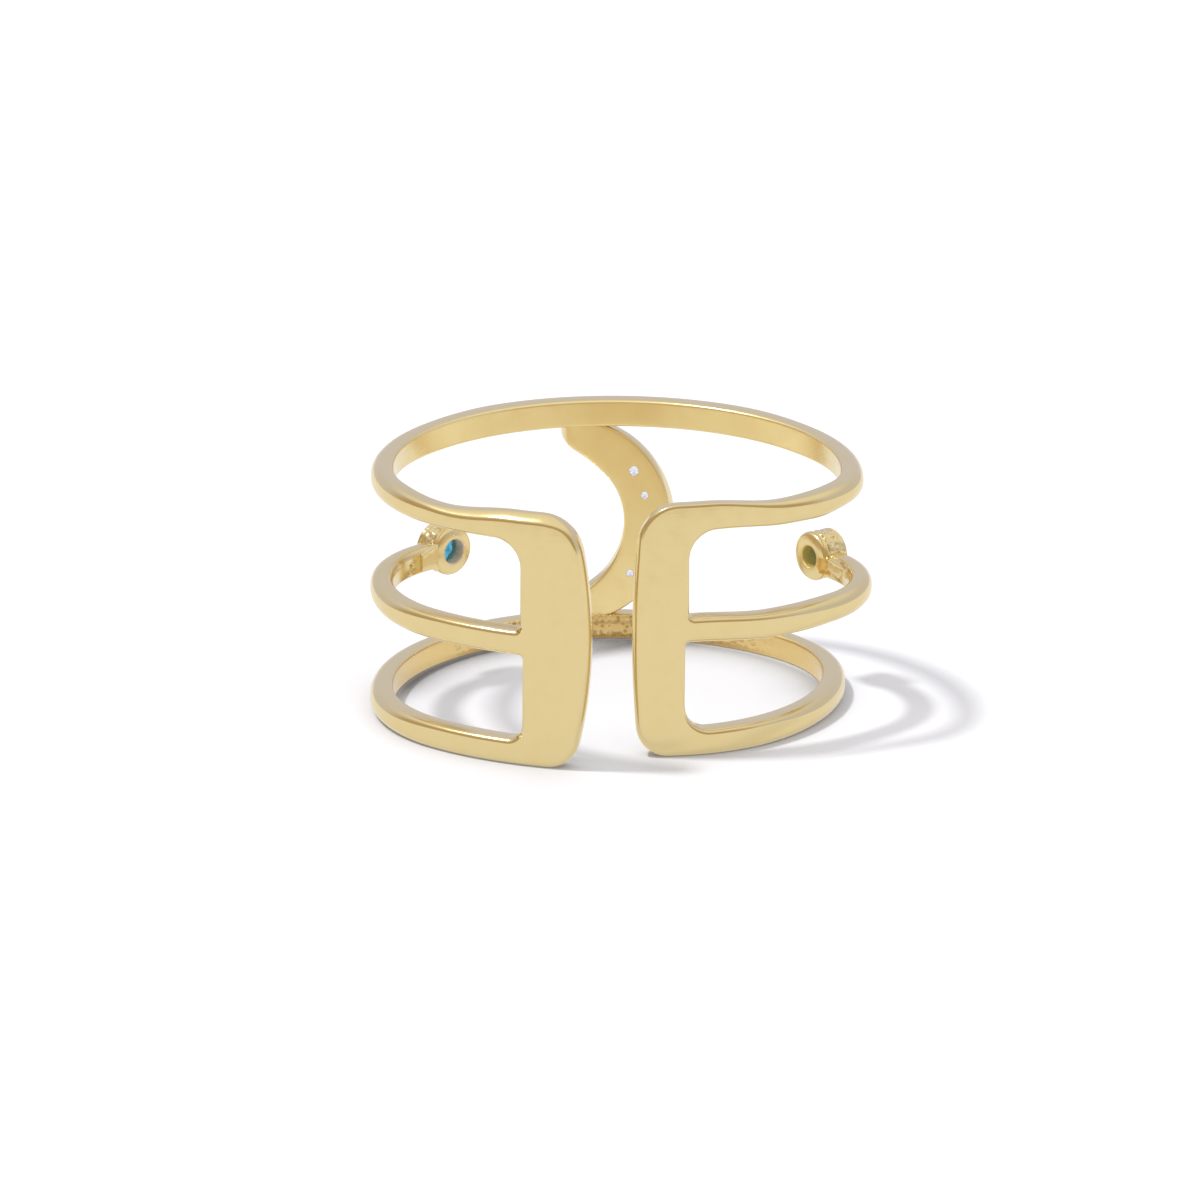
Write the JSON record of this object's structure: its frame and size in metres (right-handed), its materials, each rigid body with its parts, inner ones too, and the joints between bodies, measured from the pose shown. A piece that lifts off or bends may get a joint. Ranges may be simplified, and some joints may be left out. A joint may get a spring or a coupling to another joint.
{
  "type": "adjustable ring",
  "caption": "Open adjustable finger ring of slim parallel wires with flat end plates at the gap, a stone-set crescent at the front and round stone cups at the wire ends.",
  "frame": {"origin": "on the finger axis, in the plane of the rim that the ring rests on", "axes": "+Z along the finger axis, from the resting rim up; +Y towards the crescent at the front, so that the gap between the end plates faces -Y; the crescent's hollow side faces -X"},
  "size_m": [0.0192, 0.0172, 0.0099],
  "materials": {
    "gold": "polished gold plating",
    "blue_stone": "cut and polished",
    "white_stone": "cut and polished"
  },
  "bodies": {
    "root": {"band": "gold", "side_stone_left": "blue_stone", "side_stone_right": "blue_stone", "moon_stone_1": "white_stone", "moon_stone_2": "white_stone", "moon_stone_3": "white_stone", "moon_stone_4": "white_stone", "moon_stone_5": "white_stone"}
  },
  "joints": []
}
